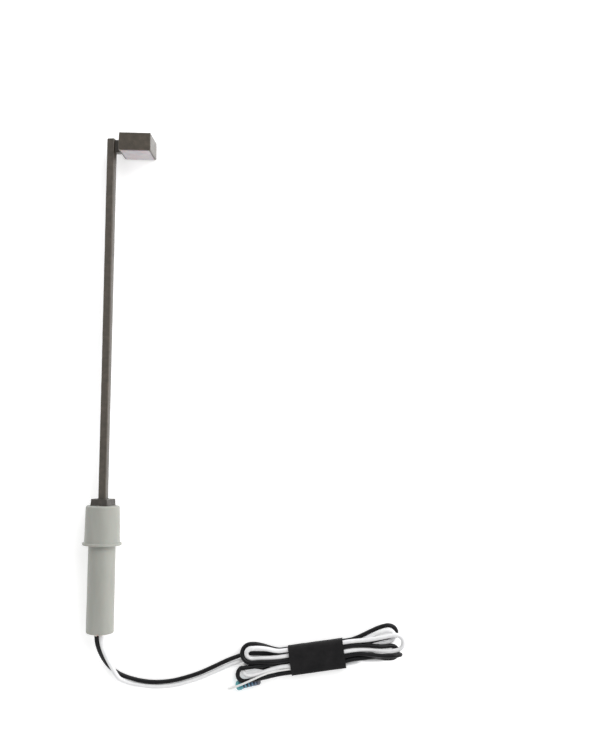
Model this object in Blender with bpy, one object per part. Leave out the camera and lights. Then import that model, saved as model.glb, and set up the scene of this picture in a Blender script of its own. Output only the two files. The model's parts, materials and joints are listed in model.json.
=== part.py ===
"""HO-scale LED lamp post with a plug-in base, lying on its back with its twin lead folded into a hank.

Frame: +Y runs up the post, +X along the head's outreach, +Z away from the surface it lies on.
The post is modelled in its own frame, whose origin is the centre of the flange's underside.
All driving dimensions are in millimetres; MM turns them into Blender's metres.
"""

from math import atan2, cos, pi, radians, sin, tau

import bmesh
import bpy
from mathutils import Matrix, Vector

MM = 0.001
GAP = 0.05  # between pieces that touch on the real object

# Square pole
POLE_WIDTH = 1.9
POLE_CORNER = 0.35
POLE_BORE = 1.2
POLE_FOOT = 2.0
POLE_TOP = 96.85
POLE_ROLL = radians(-8.5)
CAP_HEIGHT = 0.45
CAP_ROUNDING = 0.2
CAP_SPIGOT = 0.8

# Box head, open below, and what it holds
HEAD_LEFT = 2.37
HEAD_WIDTH = 7.65
HEAD_DEPTH = 7.45
HEAD_BOTTOM = 93.72
HEAD_TOP = 97.84
HEAD_DRAFT = 0.1
HEAD_ROUNDING = 0.15
HEAD_WALL = 0.4
HEAD_ROOF = 0.5
LENS_THICKNESS = 0.5
LENS_PROUD = 0.15
LENS_ROUNDING = 0.06
BOARD_SIDE = 5.8
BOARD_THICKNESS = 0.5
BOARD_CORNER = 0.3
CHIP_SIDE = 3.0
CHIP_THICKNESS = 0.9
CHIP_ROUNDING = 0.1

# Short arm between pole and head
ARM_LEFT = 1.13
ARM_BOTTOM = 93.95
ARM_TOP = 96.95
ARM_DEPTH = 1.7
ARM_ROUNDING = 0.15
WIRE_HOLE = 0.8
WIRE_LEVEL = 95.45

# Base plate under the pole
PLATE_SIDE = 4.35
PLATE_TAPER = 0.1
PLATE_BOTTOM = 9.45
PLATE_TOP = 11.0
PLATE_ROLL = radians(-15)
PLATE_ROUNDING = 0.15

# Grey collar and its flange, then the round plug below them
FLANGE_RADIUS = 4.625
FLANGE_THICKNESS = 0.5
FLANGE_ROUNDING = 0.12
RELIEF_RADIUS = 3.4  # the underside is sunk a little round the barrel
RELIEF_DEPTH = 0.1
COLLAR_FOOT_RADIUS = 4.175
COLLAR_TOP_RADIUS = 3.975
COLLAR_SHOULDER = 8.95
COLLAR_TOP = 9.4
COLLAR_FACE_RADIUS = 3.45
POLE_HOLE_RADIUS = 1.35
SPIGOT_RADIUS = 2.7
SPIGOT_HEIGHT = 5.1
BARREL_TOP_RADIUS = 3.175
BARREL_END_RADIUS = 3.25
BARREL_LENGTH = 21.0
BARREL_BORE_RADIUS = 2.35
BARREL_END_ROUNDING = (0.25, 0.4)
END_PLUG_HEIGHT = 2.0
END_PLUG_RECESS = 0.1

# Twin lead, its splices and the thin wires in the pole
LEAD_DIAMETER = 1.05
LEAD_HOLE_RADIUS = 0.545
INNER_LEAD_DIAMETER = 1.0
BLACK_EXIT_X = -0.8
WHITE_EXIT_X = 0.3
SPLICE_RADIUS = 0.85
SPLICE_BOTTOM = -15.0
SPLICE_TOP = -7.0
SPLICE_X = 0.95
SPLICE_CHAMFER = 0.2
THIN_WIRE = 0.2
THIN_WIRE_SPREAD = 0.2
# Below its splice each stub bends over to its exit: (how far below, share of the way across)
STUB_BENDS = ((1.0, 0.0), (2.4, 0.5), (3.8, 1.0))
# Above its splice each thin wire runs in to the axis: (share of the splice's x, height, share of the
# spread), then up the pole, through the arm and to the LED board: (right, height)
WIRE_GATHER = (
    (1.0, SPLICE_TOP + GAP, 0.0), (0.9, SPLICE_TOP + 1.6, 0.0), (0.5, -2.4, 0.5), (0.1, 0.8, 1.0),
)
WIRE_CLIMB = (
    (0, 3.5), (0, 30), (0, 60), (0, 93.0), (0, 94.2), (0.25, 95.0), (0.95, WIRE_LEVEL),
    (2.4, WIRE_LEVEL), (3.1, 95.6), (3.45, 96.05), (3.5, 96.6),
)

# Folded lead: a frame on the table at the middle of its tie, turned to lie along the folds
HANK_CENTRE = (52.05, -26.4)
HANK_TURN = radians(9.3)
WAIST_HALF_WIDTH = 3.2
WAIST_HALF_LENGTH = 8.9
HANK_HEIGHT = 2.2
HANK_EDGE = 0.6
# Each end lobe: where its round end starts, its middle, its half width and how far the round end reaches
LEFT_LOBE = (-15.4, 1.6, 4.2, 3.2)
RIGHT_LOBE = (17.3, 0.9, 4.9, 4.5)

# Flattened tie sleeve
TIE_LENGTH = 13.3
TIE_WALL = 0.25
TIE_CLEARANCE = 0.15

# Series resistor beside the left end of the hank
RESISTOR_CENTRE = (35.45, -33.28)
RESISTOR_TURN = radians(15.3)
RESISTOR_LENGTH = 6.3
RESISTOR_END_RADIUS = 1.2
RESISTOR_WAIST_RADIUS = 1.02
RESISTOR_END_ROUNDING = 0.45
RESISTOR_CAP = 1.1
RESISTOR_NECK = 1.75  # from each end to where the narrower middle starts
RESISTOR_LEAD = 0.5

# In the folded lead's frame: the solder bead in the tie, and the ways left for it and the bare leads
SOLDER_LENGTH = 2.0
SOLDER_RADIUS = 0.4
SOLDER_CENTRE = (-4.2, -2.1, 1.75)
TOP_WAY = ((-14.6, -2.85, 1.2), (-3.1, -1.45, 4.0))
SIDE_WAY = ((-10.9, -5.0, 0.8), (-5.65, -2.75, 1.4))

# The post rests on its flange and on the back of its head, so its axis dips towards the head
REST_TILT = atan2(FLANGE_RADIUS - HEAD_DEPTH / 2, HEAD_TOP - FLANGE_THICKNESS)
AXIS_HEIGHT = FLANGE_RADIUS * cos(REST_TILT) + FLANGE_THICKNESS * sin(REST_TILT)
HEAD_RIGHT = HEAD_LEFT + HEAD_WIDTH
MIDDLE_X = (HEAD_RIGHT - FLANGE_RADIUS) / 2
HIGHEST_Y = HEAD_TOP * cos(REST_TILT) + (HEAD_DEPTH / 2 - HEAD_DRAFT) * sin(REST_TILT)
END_FACE_RADIUS = BARREL_END_RADIUS - BARREL_END_ROUNDING[0]
LOWEST_Y = -BARREL_LENGTH * cos(REST_TILT) - END_FACE_RADIUS * sin(REST_TILT)
MIDDLE_Y = (HIGHEST_Y + LOWEST_Y) / 2

# Routes of the free leads, measured from the flange's centre: (right, up the post, above the table)
BLACK_ROUTE = [
    (-0.8, -21.3, 4.80), (-0.68, -23.3, 4.55), (-0.3, -25.54, 3.65), (0.35, -27.75, 2.3),
    (1.3, -29.67, 1.15), (2.6, -31.08, 0.6), (4.3, -32.08, 0.55), (6.4, -32.83, 0.55),
    (9.3, -33.48, 0.55), (12.8, -33.73, 0.55), (16.7, -33.33, 0.55), (20.1, -32.43, 0.55),
    (23.5, -31.23, 0.55), (26.7, -29.73, 0.55), (29.9, -28.13, 0.6), (33.05, -26.79, 0.75),
]
WHITE_ROUTE = [
    (0.3, -21.3, 4.80), (0.48, -23.4, 4.7), (1.1, -25.87, 4.15), (1.9, -28.21, 3.2),
    (2.6, -30.05, 2.3), (3.35, -31.71, 1.7), (4.2, -32.93, 1.25), (6.3, -33.99, 0.7),
    (9.3, -34.58, 0.55), (13.0, -34.83, 0.55), (17.0, -34.43, 0.55), (20.5, -33.53, 0.55),
    (23.9, -32.33, 0.55), (27.2, -30.83, 0.55), (30.2, -29.33, 0.6), (33.15, -28.09, 0.75),
]

# The resistor's bare leads in the folded lead's frame: (along, across, above the table).
# One turns back over the resistor and lies on the folds, the other goes straight into the tie.
BACK_ROUTE = [
    (-20.68, -4.44, 1.2), (-21.4, -4.51, 1.2), (-22.05, -4.58, 1.34), (-22.45, -4.6, 1.8),
    (-22.15, -4.52, 2.35), (-21.3, -4.3, 2.78), (-20.2, -4.03, 3.02), (-18.9, -3.68, 3.25),
    (-16.7, -3.03, 3.4), (-14.2, -2.35, 3.15), (-12.0, -1.95, 2.75), (-10.2, -1.88, 2.45),
    (-8.3, -1.88, 2.38), (-6.7, -1.93, 2.2), (-5.27, -2.1, 1.8),
]
STRAIGHT_ROUTE = [
    (-14.31, -3.77, 1.2), (-13.2, -3.69, 1.2), (-11.5, -3.53, 1.15), (-9.9, -3.2, 1.1),
    (-8.5, -3.03, 1.1), (-7.3, -3.01, 1.1), (-5.75, -3.01, 1.1),
]


def clear_scene():
    for obj in list(bpy.data.objects):
        bpy.data.objects.remove(obj)


def make_material(name, colour, roughness, metallic=0.0, alpha=1.0):
    material = bpy.data.materials.new(name)
    material.use_nodes = True
    shader = material.node_tree.nodes["Principled BSDF"]
    shader.inputs["Base Color"].default_value = (*colour, 1.0)
    shader.inputs["Roughness"].default_value = roughness
    shader.inputs["Metallic"].default_value = metallic
    shader.inputs["Alpha"].default_value = alpha
    material.diffuse_color = (*colour, alpha)
    return material


def make_empty(name, location, rotation=(0, 0, 0), parent=None):
    empty = bpy.data.objects.new(name, None)
    bpy.context.collection.objects.link(empty)
    empty.parent = parent
    empty.location = Vector(location) * MM
    empty.rotation_euler = rotation
    return empty


def place(name, data, material, parent, location=(0, 0, 0), rotation=(0, 0, 0)):
    """An object for the data, placed in millimetres in its parent's frame."""
    data.name = name
    data.materials.append(material)
    obj = bpy.data.objects.new(name, data)
    bpy.context.collection.objects.link(obj)
    obj.parent = parent
    obj.location = Vector(location) * MM
    obj.rotation_euler = rotation
    return obj


def finished(bm, smooth_angle=35):
    """The bmesh in millimetres as a mesh in metres, smooth except at its sharp edges."""
    bmesh.ops.recalc_face_normals(bm, faces=bm.faces)
    bm.transform(Matrix.Scale(MM, 4))
    mesh = bpy.data.meshes.new("mesh")
    bm.to_mesh(mesh)
    bm.free()
    mesh.shade_smooth()
    mesh.set_sharp_from_angle(angle=radians(smooth_angle))
    return mesh


def box_bmesh(low, high, top_inset=0.0, rounding=0.0, segments=3, edges="all"):
    """A box between two corners, its +Y end smaller by top_inset all round, with rounded edges."""
    bm = bmesh.new()
    bmesh.ops.create_cube(bm, size=1.0)
    low, high = Vector(low), Vector(high)
    middle, size = (low + high) / 2, high - low
    for vert in bm.verts:
        at_top = vert.co.y > 0
        vert.co = Vector(c * s for c, s in zip(vert.co, size))
        if at_top:
            vert.co.x -= top_inset if vert.co.x > 0 else -top_inset
            vert.co.z -= top_inset if vert.co.z > 0 else -top_inset
        vert.co += middle
    if rounding:
        chosen = [e for e in bm.edges if edges == "all" or runs_along_y(e)]
        bmesh.ops.bevel(
            bm, geom=chosen, offset=rounding, segments=segments, profile=0.5, affect="EDGES"
        )
    return bm


def runs_along_y(edge):
    a, b = (v.co for v in edge.verts)
    return abs(a.y - b.y) > 0.9 * (a - b).length


def turned_bmesh(profile, steps=48):
    """A closed (radius, height) outline turned about Y."""
    bm = bmesh.new()
    verts = [bm.verts.new((radius, height, 0)) for radius, height in profile]
    edges = [bm.edges.new((a, b)) for a, b in zip(verts, verts[1:] + verts[:1])]
    bmesh.ops.spin(
        bm, geom=edges, cent=(0, 0, 0), axis=(0, 1, 0), angle=tau, steps=steps, use_merge=True
    )
    bmesh.ops.remove_doubles(bm, verts=bm.verts, dist=1e-4)
    on_axis = [f for f in bm.faces if f.calc_area() < 1e-9]
    bmesh.ops.delete(bm, geom=on_axis, context="FACES")
    return bm


def arc(centre, radii, start, end, count):
    """Points along an ellipse's arc, angles in degrees."""
    angles = [radians(start + (end - start) * i / count) for i in range(count + 1)]
    return [(centre[0] + radii[0] * cos(a), centre[1] + radii[1] * sin(a)) for a in angles]


def cut(obj, cutter_mesh, name, parent, location=(0, 0, 0), rotation=(0, 0, 0)):
    """Takes a hidden cutter out of the object."""
    cutter = bpy.data.objects.new(name, cutter_mesh)
    bpy.context.collection.objects.link(cutter)
    cutter.parent = parent
    cutter.location = Vector(location) * MM
    cutter.rotation_euler = rotation
    cutter.hide_render = True
    cutter.display_type = "WIRE"
    boolean = obj.modifiers.new(name, "BOOLEAN")
    boolean.operation = "DIFFERENCE"
    boolean.object = cutter
    boolean.solver = "EXACT"


def rod_bmesh(radius, length, segments=24):
    """A rod along X, centred on the origin."""
    bm = bmesh.new()
    bmesh.ops.create_cone(
        bm, cap_ends=True, segments=segments, radius1=radius, radius2=radius, depth=length,
        matrix=Matrix.Rotation(pi / 2, 4, "Y"),
    )
    return bm


def smooth_points(points, spacing):
    """Points about one spacing apart along a Catmull-Rom curve through the given points."""
    points = [Vector(p) for p in points]
    ends = [2 * points[0] - points[1], *points, 2 * points[-1] - points[-2]]
    found = []
    for p0, p1, p2, p3 in zip(ends, ends[1:], ends[2:], ends[3:]):
        count = max(1, round((p2 - p1).length / spacing))
        for i in range(count):
            t = i / count
            found.append(
                0.5 * (2 * p1 + (p2 - p0) * t + (2 * p0 - 5 * p1 + 4 * p2 - p3) * t * t
                       + (3 * p1 - p0 - 3 * p2 + p3) * t ** 3)
            )
    return [*found, points[-1]]


def tube(name, points, diameter, material, parent, spacing):
    """A round tube with closed ends along a smooth route."""
    curve = bpy.data.curves.new(name, "CURVE")
    curve.dimensions = "3D"
    curve.bevel_depth = diameter / 2 * MM
    curve.bevel_resolution = 2
    curve.use_fill_caps = True
    route = smooth_points(points, spacing)
    spline = curve.splines.new("POLY")
    spline.points.add(len(route) - 1)
    for point, at in zip(spline.points, route):
        point.co = (*(at * MM), 1.0)
    return place(name, curve, material, parent)


def make_pole(mast, bronze):
    half = POLE_WIDTH / 2
    body = box_bmesh((-half, POLE_FOOT, -half), (half, POLE_TOP, half),
                     rounding=POLE_CORNER, edges="long")
    pole = place("pole", finished(body), bronze, mast, rotation=(0, POLE_ROLL, 0))
    bore = POLE_BORE / 2
    tunnel = box_bmesh((-bore, POLE_FOOT - 1, -bore), (bore, POLE_TOP + 1, bore))
    cut(pole, finished(tunnel), "cut_pole_bore", mast, rotation=(0, POLE_ROLL, 0))
    side_hole = rod_bmesh(WIRE_HOLE / 2, POLE_WIDTH)
    cut(pole, finished(side_hole), "cut_pole_side", mast,
        location=(POLE_WIDTH / 2 + 0.2, WIRE_LEVEL, 0))

    low = POLE_TOP + GAP
    lid = box_bmesh((-half, low, -half), (half, low + CAP_HEIGHT, half), rounding=CAP_ROUNDING)
    lid.normal_update()
    underside = [f for f in lid.faces if f.normal.y < -0.999]
    bmesh.ops.inset_region(lid, faces=underside, thickness=CAP_ROUNDING)
    pushed = bmesh.ops.extrude_face_region(lid, geom=underside)
    bmesh.ops.delete(lid, geom=underside, context="FACES_ONLY")
    spigot_foot = [g for g in pushed["geom"] if isinstance(g, bmesh.types.BMVert)]
    spigot_root = [v for foot in spigot_foot for e in foot.link_edges
                   for v in e.verts if v not in spigot_foot]
    for vert in spigot_foot + spigot_root:
        vert.co.x = (bore - GAP) * (1 if vert.co.x > 0 else -1)
        vert.co.z = (bore - GAP) * (1 if vert.co.z > 0 else -1)
    for vert in spigot_foot:
        vert.co.y -= CAP_SPIGOT
    place("pole_cap", finished(lid), bronze, mast, rotation=(0, POLE_ROLL, 0))


def make_head(mast, bronze, lens_glass, board_green, led_yellow):
    half = HEAD_DEPTH / 2
    shell = box_bmesh((HEAD_LEFT, HEAD_BOTTOM, -half), (HEAD_RIGHT, HEAD_TOP, half),
                      top_inset=HEAD_DRAFT, rounding=HEAD_ROUNDING)
    housing = place("head_housing", finished(shell), bronze, mast)
    inside = half - HEAD_WALL
    hollow = box_bmesh((HEAD_LEFT + HEAD_WALL, HEAD_BOTTOM - 1, -inside),
                       (HEAD_RIGHT - HEAD_WALL, HEAD_TOP - HEAD_ROOF, inside))
    cut(housing, finished(hollow), "cut_head_hollow", mast)
    wire_way = rod_bmesh(WIRE_HOLE / 2, 2.0)
    cut(housing, finished(wire_way), "cut_head_wire", mast, location=(HEAD_LEFT, WIRE_LEVEL, 0))

    pane_side = inside - GAP
    pane_low = HEAD_BOTTOM - LENS_PROUD
    pane = box_bmesh((HEAD_LEFT + HEAD_WALL + GAP, pane_low, -pane_side),
                     (HEAD_RIGHT - HEAD_WALL - GAP, pane_low + LENS_THICKNESS, pane_side),
                     rounding=LENS_ROUNDING, segments=2)
    place("head_lens", finished(pane), lens_glass, mast)

    middle = (HEAD_LEFT + HEAD_RIGHT) / 2
    board_top = HEAD_TOP - HEAD_ROOF - GAP
    board_low = board_top - BOARD_THICKNESS
    board = box_bmesh((middle - BOARD_SIDE / 2, board_low, -BOARD_SIDE / 2),
                      (middle + BOARD_SIDE / 2, board_top, BOARD_SIDE / 2),
                      rounding=BOARD_CORNER, edges="long")
    place("led_board", finished(board), board_green, mast)
    chip_top = board_low - GAP
    chip = box_bmesh((middle - CHIP_SIDE / 2, chip_top - CHIP_THICKNESS, -CHIP_SIDE / 2),
                     (middle + CHIP_SIDE / 2, chip_top, CHIP_SIDE / 2), rounding=CHIP_ROUNDING)
    place("led_chip", finished(chip), led_yellow, mast)


def make_arm(mast, bronze):
    body = box_bmesh((ARM_LEFT, ARM_BOTTOM, -ARM_DEPTH / 2),
                     (HEAD_LEFT - GAP, ARM_TOP, ARM_DEPTH / 2), rounding=ARM_ROUNDING)
    arm = place("side_arm", finished(body), bronze, mast)
    wire_way = rod_bmesh(WIRE_HOLE / 2, 3.0)
    cut(arm, finished(wire_way), "cut_arm_wire", mast,
        location=((ARM_LEFT + HEAD_LEFT) / 2, WIRE_LEVEL, 0))


def make_base(mast, bronze, grey):
    half = PLATE_SIDE / 2
    slab = box_bmesh((-half, PLATE_BOTTOM, -half), (half, PLATE_TOP, half),
                     top_inset=PLATE_TAPER, rounding=PLATE_ROUNDING)
    plate = place("base_plate", finished(slab), bronze, mast, rotation=(0, PLATE_ROLL, 0))
    hole = POLE_WIDTH / 2 + GAP
    way = box_bmesh((-hole, PLATE_BOTTOM - 1, -hole), (hole, PLATE_TOP + 1, hole),
                    rounding=POLE_CORNER, edges="long")
    cut(plate, finished(way), "cut_plate_hole", mast, rotation=(0, POLE_ROLL, 0))

    shoulder = arc((COLLAR_FACE_RADIUS, COLLAR_SHOULDER),
                   (COLLAR_TOP_RADIUS - COLLAR_FACE_RADIUS, COLLAR_TOP - COLLAR_SHOULDER), 0, 90, 8)
    rim = arc((FLANGE_RADIUS - FLANGE_ROUNDING, FLANGE_THICKNESS - FLANGE_ROUNDING),
              (FLANGE_ROUNDING, FLANGE_ROUNDING), 0, 90, 3)
    socket = SPIGOT_RADIUS + GAP
    collar = [
        (socket, RELIEF_DEPTH), (RELIEF_RADIUS, RELIEF_DEPTH), (RELIEF_RADIUS, 0),
        (FLANGE_RADIUS, 0), *rim, (COLLAR_FOOT_RADIUS, FLANGE_THICKNESS),
        *shoulder, (POLE_HOLE_RADIUS, COLLAR_TOP),
        (POLE_HOLE_RADIUS, SPIGOT_HEIGHT + GAP), (socket, SPIGOT_HEIGHT + GAP),
    ]
    place("base_collar", finished(turned_bmesh(collar, 72)), grey, mast)

    end_round = arc((END_FACE_RADIUS, -BARREL_LENGTH + BARREL_END_ROUNDING[1]), BARREL_END_ROUNDING,
                    0, -90, 5)
    barrel = [
        (BARREL_BORE_RADIUS, SPIGOT_HEIGHT), (BARREL_BORE_RADIUS, -BARREL_LENGTH),
        *reversed(end_round), (BARREL_TOP_RADIUS, -GAP), (SPIGOT_RADIUS, -GAP),
        (SPIGOT_RADIUS, SPIGOT_HEIGHT),
    ]
    place("plug_barrel", finished(turned_bmesh(barrel, 64)), grey, mast)


def make_inner_wiring(mast, filler, splice_tube, enamels, leads):
    low = -BARREL_LENGTH + END_PLUG_RECESS
    radius = BARREL_BORE_RADIUS - GAP
    disc = [(0, low), (radius, low), (radius, low + END_PLUG_HEIGHT), (0, low + END_PLUG_HEIGHT)]
    plug = place("end_plug", finished(turned_bmesh(disc)), filler, mast)
    for side, exit_x in (("black", BLACK_EXIT_X), ("white", WHITE_EXIT_X)):
        way = rod_bmesh(LEAD_HOLE_RADIUS, 3 * END_PLUG_HEIGHT, 16)
        cut(plug, finished(way), "cut_plug_" + side, mast,
            location=(exit_x, low + END_PLUG_HEIGHT / 2, 0), rotation=(0, 0, pi / 2))

    for side, sign, exit_x in (("black", -1, BLACK_EXIT_X), ("white", 1, WHITE_EXIT_X)):
        x = sign * SPLICE_X
        profile = [
            (0, SPLICE_BOTTOM), (SPLICE_RADIUS - SPLICE_CHAMFER, SPLICE_BOTTOM),
            (SPLICE_RADIUS, SPLICE_BOTTOM + SPLICE_CHAMFER),
            (SPLICE_RADIUS, SPLICE_TOP - SPLICE_CHAMFER),
            (SPLICE_RADIUS - SPLICE_CHAMFER, SPLICE_TOP), (0, SPLICE_TOP),
        ]
        place("splice_" + side, finished(turned_bmesh(profile, 24)), splice_tube, mast,
              location=(x, 0, 0))

        stub = [
            (x, SPLICE_BOTTOM - GAP, 0),
            *[(x + (exit_x - x) * share, SPLICE_BOTTOM - below, 0) for below, share in STUB_BENDS],
            (exit_x, -BARREL_LENGTH + END_PLUG_RECESS, 0),
        ]
        tube("inner_lead_" + side, stub, INNER_LEAD_DIAMETER, leads[side], mast, 1.0)

        depth = sign * THIN_WIRE_SPREAD
        route = [(share * x, height, spread * depth) for share, height, spread in WIRE_GATHER]
        route += [(right, height, depth) for right, height in WIRE_CLIMB]
        tube("thin_wire_" + side, route, THIN_WIRE, enamels[side], mast, 0.9)


def lobe_side(lobe, top, count=10):
    """Points along one side of a lobe, from the waist out to where its round end starts."""
    u_end, middle, half, _ = lobe
    sign = 1 if top else -1
    u_start = WAIST_HALF_LENGTH if u_end > 0 else -WAIST_HALF_LENGTH
    found = []
    for i in range(count + 1):
        t = i / count
        ease = t * t * (3 - 2 * t)
        edge = sign * WAIST_HALF_WIDTH * (1 - ease) + (middle + sign * half) * ease
        found.append((u_start + (u_end - u_start) * t, edge))
    return found


def lobe_end(lobe, count=16):
    """The round end of a lobe, from its top side to its bottom side."""
    u_end, middle, half, reach = lobe
    reach = reach if u_end > 0 else -reach
    return arc((u_end, middle), (reach, half), 90, -90, count)[1:-1]


def make_hank(hank_frame, jacket):
    outline = [
        *lobe_side(RIGHT_LOBE, True), *lobe_end(RIGHT_LOBE), *reversed(lobe_side(RIGHT_LOBE, False)),
        *lobe_side(LEFT_LOBE, False), *reversed(lobe_end(LEFT_LOBE)),
        *reversed(lobe_side(LEFT_LOBE, True)),
    ]
    low = TIE_WALL + TIE_CLEARANCE
    bm = bmesh.new()
    face = bm.faces.new([bm.verts.new((u, v, low)) for u, v in outline])
    raised = bmesh.ops.extrude_face_region(bm, geom=[face])
    for vert in (g for g in raised["geom"] if isinstance(g, bmesh.types.BMVert)):
        vert.co.z += HANK_HEIGHT
    bmesh.ops.recalc_face_normals(bm, faces=bm.faces)
    flat_edges = [e for e in bm.edges if abs(e.verts[0].co.z - e.verts[1].co.z) < 1e-6]
    bmesh.ops.bevel(bm, geom=flat_edges, offset=HANK_EDGE, segments=4, profile=0.5, affect="EDGES")
    hank = place("lead_hank", finished(bm), jacket, hank_frame)
    for side, (near, far) in (("top", TOP_WAY), ("side", SIDE_WAY)):
        cut(hank, finished(box_bmesh(near, far)), "cut_hank_" + side, hank_frame)


def sleeve_ring(half_width, low, high, radius, steps=8):
    """A rounded rectangle across the sleeve, anticlockwise."""
    corners = [
        (half_width - radius, high - radius, 0), (-half_width + radius, high - radius, 90),
        (-half_width + radius, low + radius, 180), (half_width - radius, low + radius, 270),
    ]
    rounds = [arc((v, z), (radius, radius), start, start + 90, steps) for v, z, start in corners]
    return [point for round_corner in rounds for point in round_corner]


def make_tie(tie_frame, shrink_tube):
    inner_half = WAIST_HALF_WIDTH + TIE_CLEARANCE
    inner_high = TIE_WALL + 2 * TIE_CLEARANCE + HANK_HEIGHT
    inner_radius = HANK_EDGE + TIE_CLEARANCE
    inner = sleeve_ring(inner_half, TIE_WALL, inner_high, inner_radius)
    outer = sleeve_ring(inner_half + TIE_WALL, 0, inner_high + TIE_WALL, inner_radius + TIE_WALL)
    bm = bmesh.new()
    rings = [
        [bm.verts.new((u, v, z)) for v, z in ring]
        for u in (-TIE_LENGTH / 2, TIE_LENGTH / 2) for ring in (outer, inner)
    ]
    near_outer, near_inner, far_outer, far_inner = rings
    count = len(outer)
    for a, b in ((near_outer, far_outer), (near_inner, far_inner), (near_outer, near_inner),
                 (far_outer, far_inner)):
        for i in range(count):
            j = (i + 1) % count
            bm.faces.new((a[i], a[j], b[j], b[i]))
    place("tie_sleeve", finished(bm), shrink_tube, tie_frame)


def make_resistor(table, hank_frame, paint, tinned, solder):
    half, end, waist = RESISTOR_LENGTH / 2, RESISTOR_END_RADIUS, RESISTOR_WAIST_RADIUS
    round_by, neck = RESISTOR_END_ROUNDING, half - RESISTOR_NECK
    right_half = [
        (waist, neck), (end, half - RESISTOR_CAP),
        *arc((end - round_by, half - round_by), (round_by, round_by), 0, 90, 4), (0, half),
    ]
    left_half = [(radius, -height) for radius, height in reversed(right_half)]
    place("resistor_body", finished(turned_bmesh(left_half + right_half, 32)), paint, table,
          location=(*RESISTOR_CENTRE, end), rotation=(0, 0, RESISTOR_TURN - pi / 2))
    tube("resistor_lead_near", BACK_ROUTE, RESISTOR_LEAD, tinned, hank_frame, 0.5)
    tube("resistor_lead_far", STRAIGHT_ROUTE, RESISTOR_LEAD, tinned, hank_frame, 0.5)

    bead = [(0, -SOLDER_LENGTH / 2),
            *arc((0, 0), (SOLDER_RADIUS, SOLDER_LENGTH / 2), -90, 90, 12)[1:-1],
            (0, SOLDER_LENGTH / 2)]
    place("solder_joint", finished(turned_bmesh(bead, 20)), solder, hank_frame,
          location=SOLDER_CENTRE, rotation=(0, 0, pi / 2))


def main():
    clear_scene()
    bronze = make_material("dark_bronze_paint", (0.085, 0.075, 0.058), 0.55)
    grey = make_material("grey_moulding", (0.40, 0.40, 0.37), 0.45)
    frosted = make_material("frosted_lens", (0.72, 0.70, 0.72), 0.5, alpha=0.9)
    board_green = make_material("board_laminate", (0.75, 0.76, 0.74), 0.5)
    led_yellow = make_material("led_phosphor", (0.85, 0.70, 0.25), 0.4)
    filler = make_material("filler_white", (0.80, 0.79, 0.75), 0.5)
    splice_tube = make_material("splice_tube", (0.03, 0.03, 0.03), 0.6)
    jackets = {
        "black": make_material("black_jacket", (0.012, 0.012, 0.013), 0.4),
        "white": make_material("white_jacket", (0.82, 0.82, 0.80), 0.4),
    }
    enamels = {
        "black": make_material("enamel_copper", (0.45, 0.16, 0.06), 0.3, 0.9),
        "white": make_material("enamel_green", (0.05, 0.22, 0.10), 0.3, 0.4),
    }
    folded = make_material("folded_jacket", (0.10, 0.10, 0.10), 0.45)
    shrink_tube = make_material("shrink_tube", (0.020, 0.020, 0.021), 0.6)
    paint = make_material("resistor_blue", (0.08, 0.40, 0.45), 0.35)
    tinned = make_material("tinned_copper", (0.72, 0.72, 0.70), 0.3, 1.0)
    solder = make_material("solder", (0.62, 0.62, 0.62), 0.35, 1.0)

    table = make_empty("table_datum", (-MIDDLE_X, -MIDDLE_Y, 0))
    mast = make_empty("mast_axis", (0, 0, AXIS_HEIGHT), (-REST_TILT, 0, 0), table)
    make_pole(mast, bronze)
    make_arm(mast, bronze)
    make_head(mast, bronze, frosted, board_green, led_yellow)
    make_base(mast, bronze, grey)
    make_inner_wiring(mast, filler, splice_tube, enamels, jackets)

    tube("free_lead_black", BLACK_ROUTE, LEAD_DIAMETER, jackets["black"], table, 2.2)
    tube("free_lead_white", WHITE_ROUTE, LEAD_DIAMETER, jackets["white"], table, 2.2)
    hank_frame = make_empty("hank_axis", (*HANK_CENTRE, 0), (0, 0, HANK_TURN), table)
    make_hank(hank_frame, folded)
    tie_frame = make_empty("tie_axis", (*HANK_CENTRE, 0), (0, 0, HANK_TURN), table)
    make_tie(tie_frame, shrink_tube)
    make_resistor(table, hank_frame, paint, tinned, solder)


main()
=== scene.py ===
"""Looks of the HO-scale LED lamp post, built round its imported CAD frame.

Pieces are drawn in millimetres in one of three frames and then placed in the part's frame in metres:
MAST (origin in the middle of the flange's underside, +Y up the post), TABLE (the same point, down on
the surface it lies on) and HANK (on the surface in the middle of the tie, +X along the folded lead).
"""

import json
from math import atan2, ceil, cos, hypot, pi, radians, sin, tan, tau

import bmesh
import bpy
import numpy as np
from mathutils import Matrix, Vector, noise


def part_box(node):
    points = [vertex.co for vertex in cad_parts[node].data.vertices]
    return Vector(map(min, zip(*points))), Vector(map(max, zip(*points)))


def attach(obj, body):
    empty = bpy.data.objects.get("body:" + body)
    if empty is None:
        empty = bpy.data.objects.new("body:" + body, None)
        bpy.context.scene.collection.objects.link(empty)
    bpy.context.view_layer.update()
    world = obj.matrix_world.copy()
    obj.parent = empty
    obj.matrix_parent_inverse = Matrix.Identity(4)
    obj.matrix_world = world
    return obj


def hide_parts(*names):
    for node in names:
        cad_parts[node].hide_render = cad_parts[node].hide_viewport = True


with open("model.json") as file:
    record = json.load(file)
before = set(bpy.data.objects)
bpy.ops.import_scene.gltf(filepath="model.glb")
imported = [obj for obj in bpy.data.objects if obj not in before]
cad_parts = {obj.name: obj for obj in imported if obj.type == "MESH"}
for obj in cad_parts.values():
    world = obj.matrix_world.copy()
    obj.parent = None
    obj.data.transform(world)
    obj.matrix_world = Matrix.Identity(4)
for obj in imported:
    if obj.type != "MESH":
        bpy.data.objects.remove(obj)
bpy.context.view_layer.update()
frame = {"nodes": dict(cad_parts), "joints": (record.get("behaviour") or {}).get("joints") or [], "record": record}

MM = 0.001

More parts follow.
